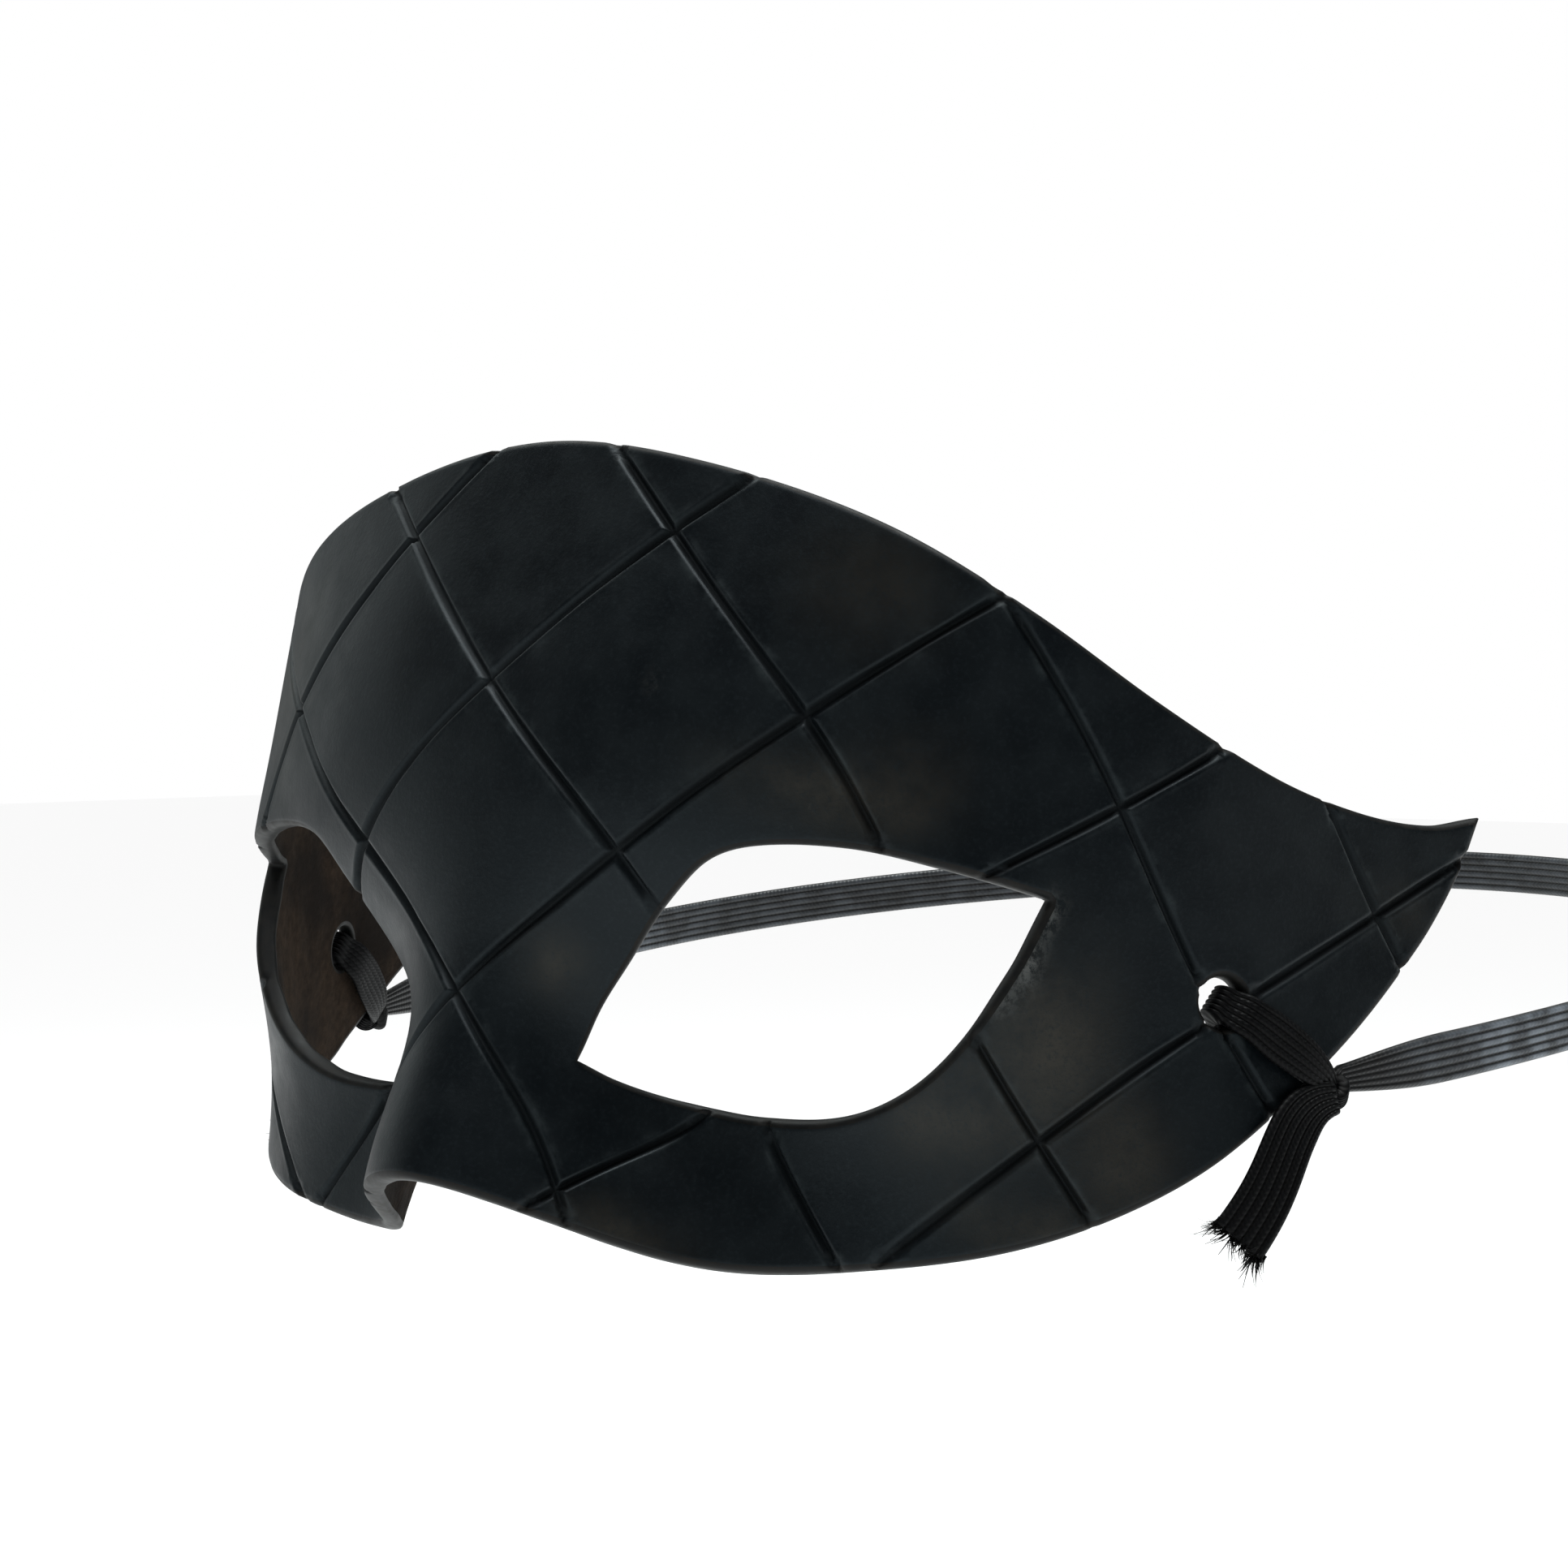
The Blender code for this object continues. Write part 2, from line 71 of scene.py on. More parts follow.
# One row for each bend, from the middle line out past the tip, in shares of a diamond.
# "rise" is its height at the middle line and "sag" its extra droop under the eye.
BENDS = {
    "below hem": dict(rise=-1.02, sag=0.1,
                      across=(0, 0.27, 0.41, 0.65, 1.13, 1.67, 2.16, 2.40, 2.55),
                      back=(-0.35, -0.27, -0.02, 0.28, 0.36, 0.62, 1.21, 1.71, 1.99)),
    "hem": dict(rise=-0.84, sag=0.1,
                across=(0, 0.28, 0.42, 0.67, 1.13, 1.68, 2.15, 2.39, 2.53),
                back=(-0.31, -0.18, 0.06, 0.32, 0.41, 0.66, 1.26, 1.77, 2.05)),
    "cheek": dict(rise=-0.5, sag=0.12,
                  across=(0, 0.35, 0.51, 0.65, 1.18, 1.69, 2.13, 2.37, 2.51),
                  back=(-0.30, -0.05, 0.10, 0.45, 0.46, 0.73, 1.36, 1.88, 2.15)),
    "eye": dict(rise=-0.04, sag=0.11,
                across=(0, 0.33, 0.38, 0.70, 1.20, 1.72, 2.08, 2.32, 2.44),
                back=(-0.02, 0.14, 0.61, 0.56, 0.51, 0.83, 1.49, 2.03, 2.31)),
    "brow": dict(rise=0.38, sag=0.065,
                 across=(0, 0.36, 0.75, 1.01, 1.43, 1.70, 2.04, 2.24, 2.37),
                 back=(0.01, 0.07, 0.13, 0.31, 0.34, 0.90, 1.63, 2.18, 2.46)),
    "forehead": dict(rise=1.04, sag=0,
                     across=(0, 0.39, 0.75, 1.15, 1.49, 1.82, 1.94, 2.17, 2.27),
                     back=(0.15, 0.12, 0.22, 0.38, 0.72, 1.14, 1.92, 2.44, 2.73)),
    "crown": dict(rise=1.655, sag=0.08,
                  across=(0, 0.36, 0.74, 1.12, 1.52, 1.80, 1.97, 2.16, 2.25),
                  back=(0.40, 0.42, 0.47, 0.56, 0.79, 1.29, 2.09, 2.64, 2.94)),
    "above crown": dict(rise=2.03, sag=0.07,
                        across=(0, 0.36, 0.72, 1.11, 1.52, 1.81, 1.98, 2.16, 2.25),
                        back=(0.51, 0.52, 0.58, 0.68, 0.90, 1.42, 2.21, 2.76, 3.05)),
}

# Left half of the cut outline on the flat pattern, in diamonds, clockwise from the top
OUTLINE = (
    # place, across, up, sharp
    ("top middle", 0.00, 1.788, False),
    ("top", 0.55, 1.735, False),
    ("top slope", 1.10, 1.634, False),
    ("over the eye", 1.60, 1.485, False),
    ("temple", 2.05, 1.355, False),
    ("waist", 2.50, 1.283, False),
    ("behind the waist", 2.85, 1.29, False),
    ("under the tip", 3.12, 1.34, False),
    ("tip", 3.32, 1.435, True),
    ("back edge", 3.28, 1.24, False),
    ("back edge low", 3.17, 0.95, False),
    ("by the knot", 2.93, 0.515, False),
    ("jaw side", 2.62, 0.11, False),
    ("cheek side", 2.30, -0.14, False),
    ("cheek", 1.90, -0.338, False),
    ("under the eye", 1.40, -0.482, False),
    ("inner cheek", 0.95, -0.565, False),
    ("nose side", 0.50, -0.593, False),
    ("nose middle", 0.00, -0.587, False),
)

# Left eye hole, clockwise from its inner corner
EYE = (
    # place, across, up, sharp
    ("inner corner", 0.425, -0.115, True),
    ("inner rise", 0.47, 0.05, False),
    ("inner lid", 0.55, 0.20, False),
    ("lid bend", 0.665, 0.38, False),
    ("lid shoulder", 0.795, 0.53, False),
    ("lid top", 0.955, 0.602, False),
    ("upper lid", 1.22, 0.648, False),
    ("upper lid end", 1.55, 0.66, False),
    ("outer corner", 1.885, 0.668, True),
    ("outer drop", 1.84, 0.44, False),
    ("outer bend", 1.738, 0.215, False),
    ("lower bend", 1.585, 0.045, False),
    ("lower lid", 1.38, -0.058, False),
    ("lower lid middle", 1.10, -0.10, False),
    ("lower lid inner", 0.80, -0.112, False),
    ("lower corner", 0.55, -0.125, False),
)


def spline_shares(place, knots):
    """Share of each control station in a smooth cubic spline, by the Cox and de Boor rule."""
    run = np.concatenate([[knots[0]] * 3, knots, [knots[-1]] * 3])
    place = np.clip(place, knots[0], knots[-1] - 1e-9)[:, None]
    shares = ((place >= run[:-1]) & (place < run[1:])).astype(float)
    for order in (1, 2, 3):
        left, right = run[:-order - 1], run[order + 1:]
        rise = np.where(run[order:-1] > left, run[order:-1] - left, 1.0)
        fall = np.where(right > run[1:-order], right - run[1:-order], 1.0)
        shares = shares[:, :-1] * (place - left) / rise + shares[:, 1:] * (right - place) / fall
    return shares


def table(column):
    """One column of the bends as an array with a row for each bend."""
    return np.array([bend[column] for bend in BENDS.values()], dtype=float)


def outer_face(across, up):
    """Moulded face: two sets of spline shares weigh the bends' places, then each bend drops as it
    runs back, by the tangent of LEAN, and sags under the eye by a squared sine."""
    mirrored = [-k for k in ACROSS_KNOTS[:0:-1]] + list(ACROSS_KNOTS)
    along = spline_shares(across, mirrored)
    rows = spline_shares(up, UP_KNOTS)
    side, depth = table("across"), table("back")
    side = np.concatenate([-side[:, :0:-1], side], axis=1)
    depth = np.concatenate([depth[:, :0:-1], depth], axis=1)
    x = ((rows @ side) * along).sum(axis=1)
    y = ((rows @ depth) * along).sum(axis=1)
    droop = (rows @ table("sag")) * np.sin(np.pi * np.clip(np.abs(across) / SAG_SPAN, 0, 1)) ** 2
    z = rows @ table("rise") - y * np.tan(np.radians(LEAN)) - droop
    return DIAMOND * np.stack([x, y, z], axis=1)


def moulded(across, up, out):
    """Place on the pressed face plus its outward normal, from the cross product of two small
    steps, times a height in metres."""
    across, up, out = (np.asarray(a, dtype=float) for a in np.broadcast_arrays(across, up, out))
    step = 0.004
    run = outer_face(across + step, up) - outer_face(across - step, up)
    climb = outer_face(across, up + step) - outer_face(across, up - step)
    normal = np.cross(run, climb)
    normal /= np.linalg.norm(normal, axis=1)[:, None]
    return outer_face(across, up) + normal * out[:, None]


ORIGIN = moulded([0.0], [0.0], -WALL)[0]


def smooth_run(rows, pieces):
    """Closed line through table rows, a cubic between two rows, broken at each sharp row."""
    points = np.array([row[1:3] for row in rows], dtype=float)
    sharp = np.array([row[3] for row in rows])[:, None]
    ahead = np.roll(points, -1, axis=0) - points
    span = np.linalg.norm(ahead, axis=1, keepdims=True)
    tangent = np.roll(points, -1, axis=0) - np.roll(points, 1, axis=0)
    tangent /= np.linalg.norm(tangent, axis=1, keepdims=True)
    start = np.where(sharp, ahead, tangent * span)[:, None]
    end = np.where(np.roll(sharp, -1, axis=0), ahead, np.roll(tangent, -1, axis=0) * span)[:, None]
    t = (np.arange(pieces) / pieces)[None, :, None]
    here, there = points[:, None], np.roll(points, -1, axis=0)[:, None]
    line = (here * (2 * t ** 3 - 3 * t ** 2 + 1) + there * (3 * t ** 2 - 2 * t ** 3)
            + start * (t ** 3 - 2 * t ** 2 + t) + end * (t ** 3 - t ** 2))
    return line.reshape(-1, 2)


def evenly(loop, gap):
    """Closed line with its points a gap apart, by length along it, keeping its sharp corners near."""
    closed = np.concatenate([loop, loop[:1]])
    length = np.concatenate([[0.0], np.cumsum(np.linalg.norm(np.diff(closed, axis=0), axis=1))])
    places = np.linspace(0, length[-1], int(length[-1] / gap) + 1)[:-1]
    return np.stack([np.interp(places, length, closed[:, k]) for k in (0, 1)], axis=1)


def drawn_in(loop, inward):
    """Closed line moved to its left by a distance, along the mean of its two edges' normals. The
    least squared length of that mean keeps a sharp corner from running off."""
    least = 0.8
    ahead = np.roll(loop, -1, axis=0) - loop
    ahead /= np.linalg.norm(ahead, axis=1, keepdims=True)
    left = np.stack([-ahead[:, 1], ahead[:, 0]], axis=1)
    mean = left + np.roll(left, 1, axis=0)
    length = np.maximum((mean ** 2).sum(axis=1, keepdims=True), least)
    return loop + mean * 2 / length * inward


def from_loops(points, loops):
    """Distance of each point from the nearest edge of any loop, and whether the leather holds it: a
    level line from it to the right then crosses an odd number of edges."""
    pairs_at_once = 4000000
    nearest = np.full(len(points), np.inf)
    crossings = np.zeros(len(points), dtype=int)
    for loop in loops:
        start, end = loop, np.roll(loop, -1, axis=0)
        edge = end - start
        portions = max(1, len(points) * len(loop) // pairs_at_once)
        for few in np.array_split(np.arange(len(points)), portions):
            offset = points[few, None] - start
            share = np.clip((offset * edge).sum(-1) / (edge ** 2).sum(-1), 0, 1)
            gap = np.linalg.norm(offset - edge * share[..., None], axis=-1).min(axis=1)
            nearest[few] = np.minimum(nearest[few], gap)
            y = points[few, 1][:, None]
            spans = (start[:, 1] > y) != (end[:, 1] > y)
            rise = np.where(edge[:, 1] == 0, 1.0, edge[:, 1])
            at = start[:, 0] + (y - start[:, 1]) * edge[:, 0] / rise
            crossings[few] += (spans & (points[few, 0][:, None] < at)).sum(axis=1)
    return nearest, crossings % 2 == 1


# What the modelling tool leaves, in metres
GROOVE_HALF = 0.00060
GROOVE_DEPTH = 0.00075
LIP = 0.00005               # height of the soft lip that the tool pushes up beside a groove
PILLOW = 0.00010            # how much the leather sinks towards a groove
PILLOW_REACH = 0.0016       # distance from a groove at which that sinking has mostly gone
UNEVEN = 0.00010            # slow unevenness of the outer face
FLESH_UNEVEN = 0.00006      # finer unevenness of the inner face
HAND_WIDTH = 0.12           # shares by which a groove's width and depth vary by hand
HAND_DEPTH = 0.14
HAND_LINE = 0.006           # diamonds by which a groove strays from its line

# What the cutting and burnishing leave, and how close the net's rows lie to it
EDGE_ROUND = 0.0008         # radius of the burnished outer edge
INNER_ROUND = 0.0004
CURVE_STEPS = 40            # points of the smooth line between two rows of its table
OUTLINE_STEP = 0.00055      # distance between two points along a cut
EYE_STEP = 0.0005
HOLE_POINTS = 40
EDGE_STEPS = (0.0, 0.00012, 0.00032, 0.0006, 0.0009, 0.0013)
EDGE_CLEAR = 0.0003         # room between the last row along a cut and the rows of the field
GROOVE_LINES = (0.0, 0.00020, 0.00042, 0.00064, 0.00086, 0.00112, 0.00150, 0.0021)
FIELD_LINES = 17
FIELD_ACROSS = 3.4          # half width of the field, in diamonds
FIELD_MIDDLE = 0.6
FIELD_UP = 1.25


def lattice_lines(first, last):
    """Places across the lattice, in diamonds: close together on both sides of each whole number, where
    a groove runs, and even between."""
    near = np.array(GROOVE_LINES) * np.sqrt(2) / DIAMOND
    field = np.linspace(near[-1], 1 - near[-1], FIELD_LINES + 2)[1:-1]
    shares = np.concatenate([near, field, 1 - near[:0:-1]])
    return np.add.outer(np.arange(first, last), shares).ravel()


def off_groove(across, up):
    """Distance in metres from the nearest groove, which runs where across plus or minus up is whole."""
    rising, falling = across + up, up - across
    off = np.minimum(np.abs(rising - np.round(rising)), np.abs(falling - np.round(falling)))
    return off * DIAMOND / np.sqrt(2)


def waves(across, up, seed, count, fine):
    """Sum of a few sine waves in drawn directions over the root of their count, so between about -1
    and 1, for hand-made unevenness."""
    draw = np.random.default_rng(seed)
    turn, start = draw.uniform(0, 2 * np.pi, (2, count))
    pace = fine * draw.uniform(0.6, 1.6, count)
    phase = np.multiply.outer(across, np.cos(turn) * pace) + np.multiply.outer(up, np.sin(turn) * pace)
    return np.sin(phase + start).sum(axis=-1) / np.sqrt(count)


def tooled(across, up):
    """Height of the outer face: a groove whose depth falls off as a power of one less its share of the
    half width, a bell curve of a lip beside it, a field that sinks towards it as an exponential, and
    slow waves."""
    wide = GROOVE_HALF * (1 + HAND_WIDTH * waves(across, up, seed=3, count=5, fine=9.0))
    deep = GROOVE_DEPTH * (1 + HAND_DEPTH * waves(across, up, seed=4, count=5, fine=6.0))
    off = off_groove(across + HAND_LINE * waves(across, up, seed=5, count=3, fine=7.0), up)
    share = np.clip(off / wide, 0, 1)
    groove = -deep * (1 - share) ** 1.15 * (1 + 0.35 * share)
    lip = LIP * np.exp(-((off - wide * 1.25) / (wide * 0.38)) ** 2)
    pillow = -PILLOW * np.exp(-off / PILLOW_REACH)
    return groove + lip + pillow + UNEVEN * waves(across, up, seed=6, count=7, fine=5.0)


def rounded(inset, radius):
    """Drop of a quarter-round edge at a distance from the cut, by the root of the radius squared less
    the rest squared."""
    rest = radius - np.clip(inset, 0, radius)
    return radius - np.sqrt(radius ** 2 - rest ** 2)


def cut_pattern():
    """Flat pattern in diamonds: its cut loops, outline against the clock and holes with it, so the
    leather always lies on the left."""
    mirror = [(place, -across, up, sharp) for place, across, up, sharp in OUTLINE[-2:0:-1]]
    outline = evenly(smooth_run(list(OUTLINE) + mirror, CURVE_STEPS)[::-1], OUTLINE_STEP / DIAMOND)
    eye = evenly(smooth_run(EYE, CURVE_STEPS), EYE_STEP / DIAMOND)
    turn = np.linspace(0, -2 * np.pi, HOLE_POINTS, endpoint=False)
    ring = np.stack([np.cos(turn), np.sin(turn)], axis=1) * STRAP_HOLE_RADIUS / DIAMOND + STRAP_HOLE
    return [outline, eye, eye[::-1] * (-1, 1), ring, ring[::-1] * (-1, 1)]


def leather_net():
    """Flat net of triangles over the pattern, its rows along the cuts and along the grooves, and each
    point's distance from the nearest cut. Faces near a cut stay if their middle lies in the leather."""
    loops = cut_pattern()
    coarse = [loop[::3] for loop in loops]
    rings = [drawn_in(loop, inward / DIAMOND) for loop in loops for inward in EDGE_STEPS]
    starts = np.cumsum([0] + [len(ring) for ring in rings])
    edges = [np.stack([first + np.arange(len(ring)), first + np.roll(np.arange(len(ring)), -1)], axis=1)
             for first, ring in zip(starts, rings)]
    rising, falling = np.meshgrid(lattice_lines(-5, 6), lattice_lines(-5, 6), indexing="ij")
    field = np.stack([(rising - falling) / 2, (rising + falling) / 2], axis=-1).reshape(-1, 2)
    field = field[(np.abs(field[:, 0]) < FIELD_ACROSS) & (np.abs(field[:, 1] - FIELD_MIDDLE) < FIELD_UP)]
    gap, held = from_loops(field, coarse)
    kept = held & (gap * DIAMOND > EDGE_STEPS[-1] + EDGE_CLEAR)
    points = np.concatenate(rings + [field[kept]])
    gap = np.concatenate([from_loops(np.concatenate(rings), loops)[0], gap[kept]])
    net = delaunay_2d_cdt(points.tolist(), np.concatenate(edges).tolist(), [], 0, 1e-7)
    flat = np.array([tuple(p) for p in net[0]])
    known = np.array([origin[0] if origin else -1 for origin in net[3]])
    inset = gap[known]
    inset[known < 0] = from_loops(flat[known < 0], loops)[0]
    on_cut = 2e-6
    inset = np.where(inset * DIAMOND < on_cut, 0.0, inset * DIAMOND)
    faces = np.array([f for f in net[2] if len(f) == 3])
    doubtful = inset[faces].min(axis=1) < EDGE_STEPS[-1] * 1.5
    held = np.ones(len(faces), dtype=bool)
    held[doubtful] = from_loops(flat[faces[doubtful]].mean(axis=1), loops)[1]
    return flat, faces[held], inset, loops


def mesh_piece(name, points, faces, materials=(), which=None, smooth=True):
    """A named piece from a point array and a face array, with a material number for each face."""
    mesh = bpy.data.meshes.new(name)
    faces = np.asarray(faces)
    mesh.vertices.add(len(points))
    mesh.vertices.foreach_set("co", np.asarray(points, dtype=np.float32).ravel())
    mesh.loops.add(faces.size)
    mesh.loops.foreach_set("vertex_index", faces.ravel().astype(np.int32))
    mesh.polygons.add(len(faces))
    mesh.polygons.foreach_set("loop_start", np.arange(len(faces), dtype=np.int32) * faces.shape[1])
    mesh.polygons.foreach_set("use_smooth", np.full(len(faces), smooth))
    for material in materials:
        mesh.materials.append(material)
    if which is not None:
        mesh.polygons.foreach_set("material_index", np.asarray(which, dtype=np.int32))
    mesh.update(calc_edges=True)
    mesh.validate()
    made = bpy.data.objects.new(name, mesh)
    bpy.context.scene.collection.objects.link(made)
    return made


class Wire:
    """A shader socket that takes part in sums and products, each adding one Math node."""

    def __init__(self, tree, socket):
        self.tree = tree
        self.socket = socket

    def joined(self, operation, *values):
        """One Math node on a few values or links."""
        node = self.tree.nodes.new("ShaderNodeMath")
        node.operation = operation
        for socket, value in zip(node.inputs, values):
            feed(self.tree, socket, value)
        return Wire(self.tree, node.outputs[0])

    def __add__(self, other):
        return self.joined("ADD", self, other)

    def __radd__(self, other):
        return self.joined("ADD", other, self)

    def __sub__(self, other):
        return self.joined("SUBTRACT", self, other)

    def __rsub__(self, other):
        return self.joined("SUBTRACT", other, self)

    def __mul__(self, other):
        return self.joined("MULTIPLY", self, other)

    def __rmul__(self, other):
        return self.joined("MULTIPLY", other, self)


def feed(tree, socket, value):
    """Link or set one socket."""
    if isinstance(value, Wire):
        tree.links.new(value.socket, socket)
    else:
        socket.default_value = value


class Finish:
    """A material under construction: its shader and one method that adds any node."""

    def __init__(self, name, **constants):
        self.material = bpy.data.materials.new(name)
        self.material.use_nodes = True
        self.tree = self.material.node_tree
        self.shader = self.tree.nodes["Principled BSDF"]
        self.set(**constants)

    def set(self, **sockets):
        """Values or links of the shader's own sockets."""
        for name, value in sockets.items():
            feed(self.tree, self.shader.inputs[name.replace("_", " ")], value)

    def node(self, kind, output=0, settings=None, **sockets):
        """Any node: its settings first, then its sockets by name, or by number as i0, i1."""
        node = self.tree.nodes.new("ShaderNode" + kind)
        for name, value in (settings or {}).items():
            setattr(node, name, value)
        for name, value in sockets.items():
            key = int(name[1:]) if name[1:].isdigit() else name.replace("_", " ")
            feed(self.tree, node.inputs[key], value)
        return Wire(self.tree, node.outputs[output])

    def noise(self, scale, detail=3.0, roughness=0.5):
        """Noise on the piece's own place in metres."""
        place = self.node("TexCoord", output="Object")
        return self.node("TexNoise", Scale=scale, Detail=detail, Roughness=roughness, Vector=place)

    def between(self, value, low, high, to_low=0.0, to_high=1.0):
        """Value moved from one range to another and held inside it."""
        return self.node("MapRange", i0=value, i1=low, i2=high, i3=to_low, i4=to_high)

    def mixed(self, factor, first, second):
        """Two colours mixed by a factor."""
        return self.node("Mix", output=2, settings={"data_type": "RGBA"}, i0=factor, i6=first, i7=second)

    def bumped(self, height, distance, strength=1.0, after=None):
        """Normal from a height, on top of an earlier bump."""
        more = {"Normal": after} if after else {}
        return self.node("Bump", Strength=strength, Distance=distance, Height=height, **more)


def black_leather():
    """Black dye on full-grain leather: cloudy colour with brown where the dye took less, darkest in
    the grooves, partly pooled dye and partly painted shade, a satin sheen, fine pores, a painted highlight
    on the shoulders beside the grooves and pale scuffs."""
    finish = Finish("black_leather", **{"Specular IOR Level": 0.20, "Specular Tint": (0.78, 0.92, 1.0, 1)})
    groove, painted_bevel_highlight, faded, scuffed = (
        finish.node("Attribute", output=2, settings={"attribute_name": name})
        for name in ("groove", "painted_bevel_highlight", "faded", "scuffed"))
    cloud = finish.noise(38.0, 4.0, 0.55)
    blotch = finish.noise(150.0, 5.0, 0.62)
    warm = finish.noise(90.0, 5.0, 0.65)
    dye = finish.mixed(finish.between(cloud, 0.35, 0.68),
                       (0.0006, 0.0015, 0.0024, 1), (0.0015, 0.0029, 0.0040, 1))
    dye = finish.mixed(finish.between(blotch, 0.42, 0.70, 0.0, 0.7), dye, (0.0033, 0.0051, 0.0062, 1))
    brown = finish.between(warm, 0.36, 0.62, 0.25, 1.0) * faded
    dye = finish.mixed(brown, dye, (0.0340, 0.0295, 0.0225, 1))
    pore = finish.noise(2300.0, 4.0, 0.65)
    dye = finish.mixed(finish.between(pore, 0.50, 0.70, 0.0, 0.60), dye, (0.0066, 0.0094, 0.0112, 1))
    streak = finish.noise(300.0, 4.0, 0.7)
    # Painted highlight: pale streaks on the groove shoulders, where the bevels catch the light.
    dye = finish.mixed(finish.between(streak, 0.45, 0.72, 0.0, 0.5) * painted_bevel_highlight, dye, (0.034, 0.042, 0.044, 1))
    rub = finish.noise(900.0, 5.0, 0.75)
    where = finish.noise(60.0, 2.0, 0.5)
    scuff = finish.between(rub, 0.62, 0.74) * finish.between(where, 0.62, 0.74)
    dye = finish.mixed(scuff * 0.5, dye, (0.045, 0.048, 0.046, 1))
    dye = finish.mixed(finish.between(rub, 0.42, 0.58) * scuffed, dye, (0.085, 0.088, 0.085, 1))
    # Painted shade: the groove cores go near black, partly dye pooled in the cut and partly shade painted
    # in.
    dye = finish.mixed(groove * 0.85, dye, (0.0008, 0.0009, 0.0010, 1))
    satin = finish.between(blotch, 0.3, 0.7, 0.36, 0.52) + groove * 0.3
    finish.set(**{"Base Color": dye, "Roughness": satin})
    grain = finish.bumped(pore, 0.00006, 0.45)
    finish.set(Normal=finish.bumped(finish.noise(160.0, 3.0), 0.00020, 0.25, grain))
    return finish.material


def flesh_side():
    """Raw suede side: warm brown with dark dye that soaked in from the cut edges."""
    finish = Finish("flesh_side", **{"Specular IOR Level": 0.05})
    fuzz = finish.noise(900.0, 5.0, 0.7)
    stain = finish.noise(70.0, 4.0, 0.6)
    tan = finish.mixed(finish.between(fuzz, 0.3, 0.7),
                       (0.012, 0.008, 0.0055, 1), (0.034, 0.023, 0.0155, 1))
    tan = finish.mixed(finish.between(stain, 0.42, 0.62, 0.0, 0.8), tan, (0.006, 0.005, 0.0045, 1))
    finish.set(**{"Base Color": tan, "Roughness": 0.92})
    finish.set(Normal=finish.bumped(fuzz, 0.00025, 0.7))
    return finish.material


def burnished_edge():
    """Cut edge burnished smooth and dyed, with fibres just showing."""
    finish = Finish("burnished_edge", **{"Specular IOR Level": 0.16})
    fibre = finish.noise(700.0, 4.0, 0.6)
    dark = finish.mixed(finish.between(fibre, 0.4, 0.75),
                        (0.0035, 0.0040, 0.0042, 1), (0.0100, 0.0090, 0.0075, 1))
    finish.set(**{"Base Color": dark, "Roughness": finish.between(fibre, 0.3, 0.7, 0.48, 0.62)})
    finish.set(Normal=finish.bumped(fibre, 0.00005, 0.4))
    return finish.material


# Places on the flat pattern, in diamonds, where the dye took less and where the grain is scuffed pale
FADED = (
    # across, up, half width, half height, strength
    (1.98, 0.30, 0.17, 0.22, 1.0),
    (1.73, 0.02, 0.22, 0.13, 0.8),
    (2.00, -0.25, 0.24, 0.08, 0.7),
    (2.27, 0.00, 0.14, 0.18, 0.6),
    (1.07, 0.78, 0.26, 0.09, 0.9),
    (1.12, 1.42, 0.22, 0.18, 0.35),
    (1.36, 0.89, 0.16, 0.14, 0.5),
    (0.32, 0.14, 0.10, 0.10, 0.7),
    (0.75, -0.54, 0.20, 0.07, 0.7),
    (-1.15, 1.10, 0.25, 0.35, 0.4),
    (3.05, 1.05, 0.16, 0.10, 0.4),
)
SCUFFED = (
    # across, up, half width, half height, strength
    (1.87, 0.47, 0.040, 0.075, 1.0),
    (1.89, 0.62, 0.028, 0.060, 0.9),
    (1.81, 0.36, 0.045, 0.050, 0.8),
    (0.55, 1.02, 0.015, 0.015, 0.8),
)


def mark_points(piece, name, values):
    """One number for each point of a mesh, for its finish to read."""
    column = piece.data.attributes.new(name, "FLOAT", "POINT")
    column.data.foreach_set("value", np.asarray(values, dtype=np.float32))


flat, faces, inset, loops = leather_net()
across, up = flat[:, 0], flat[:, 1]
fading = np.clip(inset / EDGE_ROUND * 0.5 + 0.6, 0, 1)      # the tooling is worn down beside a cut
top_out = tooled(across, up) * fading - rounded(inset, EDGE_ROUND)
suede = FLESH_UNEVEN * waves(across, up, seed=8, count=7, fine=30.0)
under_out = -WALL + rounded(inset, INNER_ROUND) + suede
outside = moulded(across, up, top_out) - ORIGIN
inside = moulded(across, up, under_out) - ORIGIN

# An edge that no second face shares lies on a cut, and carries the wall from face to face.
pairs = np.concatenate([faces[:, [0, 1]], faces[:, [1, 2]], faces[:, [2, 0]]])
count = len(flat)
forward = pairs[:, 0].astype(np.int64) * count + pairs[:, 1]
backward = pairs[:, 1].astype(np.int64) * count + pairs[:, 0]
rim = pairs[~np.isin(forward, backward)]
wall = np.concatenate([np.stack([rim[:, 1], rim[:, 0], rim[:, 0] + count], axis=1),
                       np.stack([rim[:, 1], rim[:, 0] + count, rim[:, 1] + count], axis=1)])
every = np.concatenate([faces, faces[:, ::-1] + count, wall])
edge_band = inset[faces].mean(axis=1) < EDGE_ROUND * 0.75
OUTER, INNER, CUT = 0, 1, 2
which = np.concatenate([np.where(edge_band, CUT, OUTER), np.where(edge_band, CUT, INNER),
                        np.full(len(wall), CUT)])
mask_leather = mesh_piece("mask_leather", np.concatenate([outside, inside]), every,
                          (black_leather(), flesh_side(), burnished_edge()), which)
